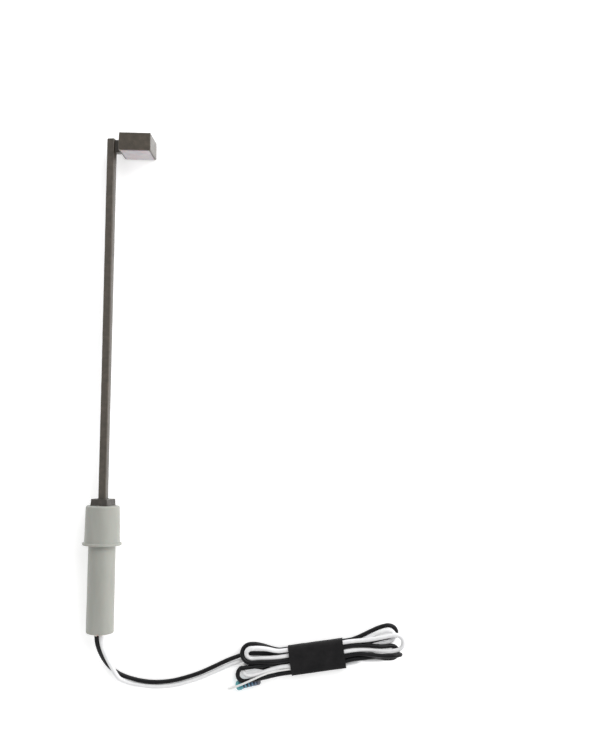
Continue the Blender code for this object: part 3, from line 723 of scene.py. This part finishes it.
def evenly(points, spacing):
    """Points at an even spacing along the polyline, as an array."""
    points = np.array(points, float)
    reach = np.concatenate([[0], np.cumsum(np.linalg.norm(np.diff(points, axis=0), axis=1))])
    at = np.linspace(0, reach[-1], int(round(reach[-1] / spacing)) + 1)
    return np.stack([np.interp(at, reach, points[:, k]) for k in range(3)], 1)


def fold_points(run_in, run_out, fold):
    """From one end of the tie out along a leg, round a half circle and back along another leg."""
    count = LEG_POINTS
    tip, (in_v, in_z), (out_v, out_z), bow_in, bow_out = fold
    side = 1 if tip > 0 else -1
    radius = hypot(in_v - out_v, in_z - out_z) / 2
    start, turn_at = side * MOUTH, tip - side * radius
    mid_v, mid_z = (in_v + out_v) / 2, (in_z + out_z) / 2

    def leg(run, v, z, bow, share):
        return (start + (turn_at - start) * share,
                run[0] + (v - run[0]) * ease(share) + bow * sin(pi * share) ** 2,
                run[1] + (z - run[1]) * ease(share))

    found = [leg(run_in, in_v, in_z, bow_in, i / count) for i in range(1, count)]
    for i in range(count + 1):
        angle = pi * i / count
        found.append((turn_at + side * radius * sin(angle), mid_v + (in_v - mid_v) * cos(angle),
                      mid_z + (in_z - mid_z) * cos(angle)))
    found += [leg(run_out, out_v, out_z, bow_out, 1 - i / count) for i in range(1, count)]
    return found


def lead_points(name):
    """A lead's first, unsettled centreline in the HANK frame, and how many of its points lie free."""
    count = RUN_POINTS
    start = (EXITS[name], END_FACE - 0.05, ROUTES[name][0][2])
    free = smooth_points([TABLE_TO_HANK @ Vector(p) for p in (start, *ROUTES[name])], STEP)
    points, runs = [*free], RUNS[name]

    last, slope = free[-1], (free[-1] - free[-3]) / (free[-1].x - free[-3].x)
    span = -MOUTH - last.x
    for i in range(1, count):
        t = i / count
        keep, lean = 1 - ease(t), t * (1 - t) ** 2 * span
        points.append((last.x + span * t,
                       keep * last.y + lean * slope.y + ease(t) * runs[0][0][0],
                       keep * last.z + lean * slope.z + ease(t) * runs[0][0][1]))

    for number, (left, right) in enumerate(runs):
        side = -1 if number % 2 == 0 else 1
        start, end = (left, right) if side < 0 else (right, left)
        final = number == len(runs) - 1
        for i in range(count + 1):
            along = side * MOUTH * (1 - 2 * i / count)
            if final and name == "white" and along < WHITE_END:
                break
            share = ease(i / count)
            points.append((along, start[0] + (end[0] - start[0]) * share,
                           start[1] + (end[1] - start[1]) * share))
        if not final:
            following = runs[number + 1][1 if side < 0 else 0]
            points += fold_points(end, following, FOLDS[name][number])
    if name == "black":
        points += smooth_points([points[-1], *BLACK_TAIL], STEP)[1:]
    return evenly(points, STEP), len(evenly(free, STEP))


def keep_in(at, loose):
    """Moves the loose points back inside the tie's bore and up from the table."""
    radius, corner = LEAD_DIAMETER / 2, TIE_ROUNDING - TIE_WALL
    half, low, high = TIE_HALF_WIDTH - TIE_WALL, TIE_WALL, TIE_HEIGHT - TIE_WALL
    inside = loose & (abs(at[:, 0]) < MOUTH + STEP)
    core = np.clip(at[inside, 1:], (corner - half, low + corner), (half - corner, high - corner))
    out = at[inside, 1:] - core
    excess = np.linalg.norm(out, axis=1, keepdims=True) / (corner - radius - CLEARANCE)
    at[inside, 1:] = core + out / np.maximum(excess, 1)
    at[loose, 2] = np.maximum(at[loose, 2], radius + ABOVE_TABLE)


def settle(paths, free_counts, fixed):
    """Moves the leads apart until they lie beside and on each other, in the tie and on the table.
    fixed are (points, radius) of what they can't move. The moves are smoothed along each lead."""
    chains = [*paths, *[points for points, _ in fixed]]
    home = np.concatenate(chains)
    sizes = [len(p) for p in chains]
    wire = np.repeat(np.arange(len(sizes)), sizes)
    order = np.concatenate([np.arange(n) for n in sizes])
    reach = np.repeat([LEAD_DIAMETER / 2] * len(paths) + [r for _, r in fixed], sizes)
    held = np.array([*free_counts, *[10 ** 6] * len(fixed)])[wire]
    loose = np.clip((order - held) / LOOSEN_OVER, 0, 1)[:, None]
    own = (wire[:, None] == wire[None, :]) & (abs(order[:, None] - order[None, :]) * STEP < OWN_REACH)
    touch = reach[:, None] + reach[None, :]
    index = np.arange(len(home))
    before = np.where((index > 0) & (wire[index - 1] == wire), index - 1, index)
    after = np.roll(index, -1)
    after = np.where(wire[after] == wire, after, index)
    offset = np.zeros_like(home)
    for number in range(SETTLE_ROUNDS):
        at = home + offset
        grown = min(1, FIRST_SHARE + (1 - FIRST_SHARE) * number / (FULL_AFTER * SETTLE_ROUNDS))
        if number % SEARCH_EVERY == 0:
            gap = np.sqrt(((at[:, None, :] - at[None, :, :]) ** 2).sum(2))
            one, two = np.nonzero(np.triu(~own & (gap < touch + NEARBY), 1))
        for _ in range(2):
            apart = at[one] - at[two]
            distance = np.maximum(np.linalg.norm(apart, axis=1), 1e-6)
            wanted = (touch[one, two] + CLEARANCE) * grown
            push = apart * (np.clip(wanted - distance, 0, None) / distance * PUSH)[:, None]
            move = np.zeros_like(at)
            np.add.at(move, one, push)
            np.add.at(move, two, -push)
            at += move * loose
            keep_in(at, loose[:, 0] > 0)
        offset = at - home
        for _ in range(2):
            offset += ((offset[before] + offset[after]) / 2 - offset) * SMOOTHING * loose
    settled = home + offset
    ends = np.cumsum(sizes)
    return [settled[end - size:end] for end, size in zip(ends, sizes)][:len(paths)]


def make_bare_lead(name, node, points, seed, tinned):
    bm = sweep(points, BARE_DIAMETER / 2, 14,
               lift=lambda at, angle: 0.02 * noise.noise(Vector((at / 0.9, 2 * cos(angle), seed))),
               end_rings=[(BARE_DIAMETER * r, on) for r, on in CLEAN_CUT])
    as_piece(name, bm, HANK, tinned, replaces=[node])


def make_bead(start, end, solder):
    """The solder between the resistor's bent-back lead and the white lead, thickest in its middle."""
    length = (end - start).length
    bm = sweep([start.lerp(end, i / 12) for i in range(13)], BEAD_RADIUS, 18, lift=lambda at, angle: (
        BEAD_SWELL * sin(pi * min(at / length, 1))
        + 0.05 * noise.noise(Vector((at / 0.5, cos(angle), 7)))))
    as_piece("solder_bead", bm, HANK, solder, replaces=["solder_joint"])


def make_cord(name, points, seed, jacket, nodes):
    """A lead in its jacket, cut a little roughly at its far end."""
    path = evenly(points, 0.3)
    bm = sweep(path, LEAD_DIAMETER / 2, 18,
               end_rings=[(LEAD_DIAMETER * r, on) for r, on in ROUGH_CUT],
               lift=lambda at, angle: 0.014 * noise.noise(Vector((at / 1.4, 1.5 * cos(angle), seed))))
    lead = as_piece("lead_" + name, bm, HANK, jacket, replaces=nodes, sharp=60)


def make_leads(jackets, tinned, solder):
    middle = TABLE_TO_HANK @ Vector((*RESISTOR_CENTRE, RESISTOR_END_RADIUS))
    turn = RESISTOR_TURN - hank_turn
    axis = Vector((cos(turn), sin(turn), 0)) * (RESISTOR_LENGTH / 2)
    back = smooth_points(BACK_ROUTE, 0.25)
    straight = smooth_points(STRAIGHT_ROUTE, 0.25)
    fixed = [
        (evenly([middle - axis, middle + axis], STEP), RESISTOR_END_RADIUS),
        (evenly(back, STEP), BARE_DIAMETER / 2),
        (evenly(straight, STEP), BARE_DIAMETER / 2),
    ]
    laid = [lead_points(name) for name in ("black", "white")]
    black, white = settle([points for points, _ in laid], [count for _, count in laid], fixed)

    make_bare_lead("bare_lead_back", "resistor_lead_near", back, 1.0, tinned)
    make_bare_lead("bare_lead_straight", "resistor_lead_far", straight, 2.0, tinned)
    make_bead(Vector(BACK_ROUTE[-1]), Vector(white[-1]), solder)
    make_cord("black", black, 3.0, jackets["black"], ["free_lead_black", "lead_hank"])
    make_cord("white", white, 8.0, jackets["white"], ["free_lead_white"])


def tie_outline(inset, share):
    """A point this share of the way round the tie's outline, and which way is out there."""
    half, low, high = TIE_HALF_WIDTH - inset, inset, TIE_HEIGHT - inset
    radius = TIE_ROUNDING - inset
    flat_v, flat_z = 2 * (half - radius), high - low - 2 * radius
    round_by = pi / 2 * radius
    spans = [flat_z / 2, round_by, flat_v, round_by, flat_z, round_by, flat_v, round_by, flat_z / 2]
    corners = [(half - radius, high - radius, 0), (radius - half, high - radius, 90),
               (radius - half, low + radius, 180), (half - radius, low + radius, 270)]
    starts = [(half, (low + high) / 2), (half - radius, high), (-half, high - radius),
              (radius - half, low), (half, low + radius)]
    steps = [(0, 1), (-1, 0), (0, -1), (1, 0), (0, 1)]
    left = sum(spans) * share
    for number, span in enumerate(spans):
        if left <= span or number == len(spans) - 1:
            break
        left -= span
    if number % 2:
        v, z, first = corners[number // 2]
        angle = radians(first) + left / radius
        return (v + radius * cos(angle), z + radius * sin(angle)), (cos(angle), sin(angle))
    start, step = starts[number // 2], steps[number // 2]
    return (start[0] + step[0] * left, start[1] + step[1] * left), (step[1], -step[0])


def make_tie(material):
    """The flattened shrink tube: a soft loop of even wall, a little dented, with slightly flared rims."""
    around, along = 104, 53
    bm = bmesh.new()
    shells = []
    for inset in (0, TIE_WALL):
        rings = []
        for i in range(along):
            share = i / (along - 1)
            ring = []
            for k in range(around):
                (v, z), (out_v, out_z) = tie_outline(inset, k / around)
                uneven = TIE_UNEVEN_ENDS * noise.noise(Vector((v / 2, z / 2, 5 * share)))
                u = (share - 0.5) * (TIE_LENGTH + uneven)
                dent = 0.0
                if inset == 0:
                    rim = max(0, 1 - min(share, 1 - share) * TIE_LENGTH / TIE_RIM)
                    dent = (TIE_DENTS * (noise.noise(Vector((u / 2.4, v / 1.3, z))) - 0.4)
                            + TIE_FLARE * rim ** 2)
                    if z < TIE_FLAT_FOOT:
                        dent = min(dent, 0)
                ring.append(bm.verts.new((u, v + out_v * dent, max(0, z + out_z * dent))))
            rings.append(ring)
        shells.append(rings)
    outer, inner = shells
    pairs = list(zip(outer, outer[1:])) + [(b, a) for a, b in zip(inner, inner[1:])]
    pairs += [(inner[0], outer[0]), (outer[-1], inner[-1])]
    for a, b in pairs:
        for k in range(around):
            m = (k + 1) % around
            bm.faces.new((a[k], a[m], b[m], b[k]))
    as_piece("tie_tube", bm, HANK, material, body="tie", replaces=["tie_sleeve"])


def make_resistor(material):
    """The lacquered body: two rounded caps and a slimmer waist, its length laid out for the rings."""
    half, end, waist = RESISTOR_LENGTH / 2, RESISTOR_END_RADIUS, RESISTOR_WAIST_RADIUS
    profile, count = [], 64
    for i in range(count + 1):
        h = -half + RESISTOR_LENGTH * i / count
        from_end = half - abs(h)
        cap = end * (1 - (1 - min(from_end / CAP_ROUNDING, 1)) ** CAP_SQUARENESS) ** 0.5
        blend = ease(min(max((from_end - CAP_LENGTH) / CAP_SLOPE, 0), 1))
        slim = 0 if h < 0 else RIGHT_CAP_SLIMMER
        profile.append((max(0.0, cap - slim) * (1 - blend) + waist * blend, h))
    profile[0], profile[-1] = (0.0, -half), (0.0, half)
    bm = turned(profile, 40, lambda r, h, a: 0.02 * noise.noise(Vector((h / 0.8, cos(a), sin(a)))))
    uv = bm.loops.layers.uv.new("along")
    for face in bm.faces:
        for loop in face.loops:
            co = loop.vert.co
            loop[uv].uv = ((co.y + half) / RESISTOR_LENGTH, 0.5 + atan2(co.z, co.x) / tau)
    to_table = (TABLE @ Matrix.Translation((*RESISTOR_CENTRE, end))
                @ Matrix.Rotation(RESISTOR_TURN - pi / 2, 4, "Z"))
    as_piece("resistor_paint", bm, to_table, material, replaces=["resistor_body"],
             sharp=60)


# -------- the post
def make_pole(bronze):
    half = POLE_WIDTH / 2
    pole = soft_box((-half, POLE_FOOT, -half), (half, CAP_TOP, half), POLE_CORNER,
                    (0.3, 0.45, 0.3), wobble=0.03, wobble_size=2.2)
    as_piece("pole_tube", pole, MAST @ Matrix.Rotation(POLE_ROLL, 4, "Y"), bronze,
             replaces=["pole", "pole_cap"])


def make_head(bronze, lens):
    low, high = Vector(HEAD_LOW), Vector(HEAD_HIGH)
    box = soft_box(low, high, EDGE_ROUNDING, (0.35, 0.35, 0.35), top_inset=HEAD_DRAFT, wobble=0.03,
                   wobble_size=1.4)
    housing = as_piece("head_box", box, MAST, bronze, replaces=["head_housing"])
    wall = Vector((HEAD_WALL, 0, HEAD_WALL))
    carve(housing, soft_box(low + wall - Vector((0, 1, 0)), high - wall - Vector((0, HEAD_ROOF, 0)),
                            0.12, (0.5, 0.5, 0.5)), MAST)

    face = low.y - LENS_PROUD
    edge = wall + Vector((LENS_GAP, 0, LENS_GAP))
    pane = soft_box((low.x + edge.x, face, low.z + edge.z),
                    (high.x - edge.x, face + LENS_THICKNESS, high.z - edge.z),
                    0.08, (0.6, 0.2, LENS_RIB_PITCH / 6))
    for v in pane.verts:
        if v.co.y < face + 0.02:
            v.co.y += LENS_RIB_HEIGHT * (1 - cos(tau * v.co.z / LENS_RIB_PITCH))
    as_piece("lens_pane", pane, MAST, lens, replaces=["head_lens"])


def make_arm(bronze):
    arm = soft_box(ARM_LOW, ARM_HIGH, EDGE_ROUNDING, (0.2, 0.2, 0.2), wobble=0.04, wobble_size=0.8)
    as_piece("arm_block", arm, MAST, bronze, replaces=["side_arm"])


def make_foot(bronze):
    side = PLATE_SIDE / 2
    plate = soft_box((-side, PLATE_BOTTOM, -side), (side, PLATE_TOP, side), EDGE_ROUNDING,
                     (0.2, 0.15, 0.2), top_inset=PLATE_TAPER, wobble=0.05, wobble_size=0.9)
    as_piece("foot_plate", plate, MAST @ Matrix.Rotation(PLATE_ROLL, 4, "Y"), bronze,
             replaces=["base_plate"])
    seam("foot_seam", POLE_WIDTH / 2 + SEAM_INSET, POLE_CORNER, PLATE_TOP + SEAM_LIFT, FOOT_SEAM,
         POLE_ROLL, bronze)
    seam("plate_seam", side - SEAM_INSET, EDGE_ROUNDING, PLATE_BOTTOM + SEAM_LIFT, PLATE_SEAM,
         PLATE_ROLL, bronze)


# -------- the plug
def parting_line(angle):
    """How far the mould's seam stands proud at this angle: two fine ridges on opposite sides."""
    off = abs((angle + pi / 2) % pi - pi / 2)
    return PARTING_LINE * max(0, 1 - off / PARTING_LINE_REACH)


def make_collar(grey):
    shoulder = arc((COLLAR_FACE_RADIUS, COLLAR_SHOULDER),
                   (COLLAR_TOP_RADIUS - COLLAR_FACE_RADIUS, COLLAR_TOP - COLLAR_SHOULDER), 0, 90, 12)
    rim = arc((FLANGE_RADIUS - FLANGE_ROUNDING, FLANGE_THICKNESS - FLANGE_ROUNDING),
              (FLANGE_ROUNDING, FLANGE_ROUNDING), 0, 90, 5)
    root = arc((COLLAR_FOOT_RADIUS + FLANGE_ROOT, FLANGE_THICKNESS + FLANGE_ROOT),
               (FLANGE_ROOT, FLANGE_ROOT), 270, 180, 4)
    collar = [(POLE_HOLE_RADIUS, RELIEF_DEPTH), (BARREL_TOP_RADIUS + JOINT_GAP, RELIEF_DEPTH),
              (FLANGE_RADIUS - FLANGE_CHAMFER, 0.0), (FLANGE_RADIUS, FLANGE_CHAMFER),
              *rim, *root, *shoulder, (POLE_HOLE_RADIUS, COLLAR_TOP)]
    bm = turned(fine(collar, 0.35), MOULDING_SIDES, lambda r, h, a: (
        0.025 * noise.noise(Vector((cos(a) * 1.5, h / 2.5, sin(a) * 1.5)))
        + (parting_line(a) if r > COLLAR_TOP_RADIUS - 0.4 else 0)))
    as_piece("collar_moulding", bm, MAST, grey, replaces=["base_collar"])


def make_barrel(grey):
    round_in, round_up = BARREL_END_ROUNDING
    end_round = arc((BARREL_END_RADIUS - round_in, -BARREL_LENGTH + round_up), BARREL_END_ROUNDING,
                    0, -90, 6)
    barrel = [(BARREL_BORE, RELIEF_DEPTH), (BARREL_BORE, -BARREL_LENGTH + BORE_CHAMFER[1]),
              (BARREL_BORE + BORE_CHAMFER[0], -BARREL_LENGTH), *reversed(end_round),
              (BARREL_TOP_RADIUS, RELIEF_DEPTH)]

    def skin(r, h, a):
        ragged = max(0, 1 - (h + BARREL_LENGTH) / RAGGED_LENGTH)
        return (0.03 * noise.noise(Vector((cos(a) * 1.6, h / 4, sin(a) * 1.6)))
                + (parting_line(a) if r > BARREL_TOP_RADIUS - 0.1 and ragged == 0 else 0)
                + RAGGED_DEPTH * ragged * noise.noise(Vector((cos(a) * 5, h * 1.5, sin(a) * 5))))

    bm = turned(fine(barrel, 0.4), MOULDING_SIDES, skin)
    for v in bm.verts:
        if v.co.y < -BARREL_LENGTH + 0.5:
            v.co.y += 0.05 * noise.noise(Vector((v.co.x * 1.7, 3.0, v.co.z * 1.7)))
    as_piece("barrel_moulding", bm, MAST, grey, replaces=["plug_barrel"])


def make_glue(glue):
    """The filler in the barrel's end: a disc that bulges out, most of all round the two leads."""
    rings = [(BARREL_BORE + 0.03) * i / 16 for i in range(17)]
    back = END_FACE + GLUE_THICKNESS
    bm = turned([*[(r, END_FACE) for r in rings], *[(r, back) for r in reversed(rings)]], 64)
    for v in bm.verts:
        r = hypot(v.co.x, v.co.z)
        if v.co.y > END_FACE + GLUE_THICKNESS / 2 or r >= BARREL_BORE:
            continue
        creeps = [GLUE_AT_LEADS - GLUE_FALL * hypot(v.co.x - x, v.co.z - EXIT_FRONT) ** 2
                  for x in EXITS.values()]
        lump = GLUE_LUMPS * noise.noise(Vector((v.co.x * 1.3, 0, v.co.z * 1.3)))
        v.co.y -= max(0, max(GLUE_BULGE, *creeps) + lump) * (1 - (r / BARREL_BORE) ** 4)
    as_piece("glue_mound", bm, MAST, glue, sharp=80)


def repaint(node, material):
    node = frame["nodes"][node]
    node.data.materials.clear()
    node.data.materials.append(material)


def main():
    make_stage()
    # The darker copy of the bronze paint is painted shade: it stands in for the shadow that the head casts on the
    # arm. The foot plate and both its seams are darkened with it too.
    bronze, shaded_bronze = bronze_paint("bronze_paint"), bronze_paint("bronze_paint_shaded", 0.74)
    grey, glue, lens = grey_plastic(), filler_glue(), lens_plastic()
    jackets = {
        "black": jacket("black_jacket", linear(16, 16, 18), linear(24, 24, 27), (0.26, 0.5),
                        linear(44, 44, 47)),
        "white": jacket("white_jacket", linear(236, 236, 238), linear(247, 247, 247), (0.3, 0.5),
                        linear(222, 222, 226)),
    }
    tinned = bare_metal("tinned_copper", 0.35, linear(238, 237, 235), linear(250, 250, 249), (0.25, 0.45))
    solder = bare_metal("solder", 1.0, linear(168, 168, 170), linear(204, 204, 206), (0.25, 0.5))
    tube = shrink_tube()

    make_resistor(resistor_lacquer())
    make_leads(jackets, tinned, solder)
    make_tie(tube)
    make_pole(bronze)
    make_head(bronze, lens)
    # The arm and the foot get the darker bronze paint, as painted shade.
    make_arm(shaded_bronze)
    make_foot(shaded_bronze)
    make_collar(grey)
    make_barrel(grey)
    make_glue(glue)

    repaint("led_board", board_mask())
    repaint("led_chip", phosphor())
    repaint("end_plug", glue)
    for side in ("black", "white"):
        repaint("splice_" + side, tube)
        repaint("inner_lead_" + side, jackets[side])
    repaint("thin_wire_black", enamel("enamel_copper", linear(150, 84, 48), linear(190, 112, 66)))
    repaint("thin_wire_white", enamel("enamel_green", linear(40, 96, 60), linear(62, 128, 82)))


main()
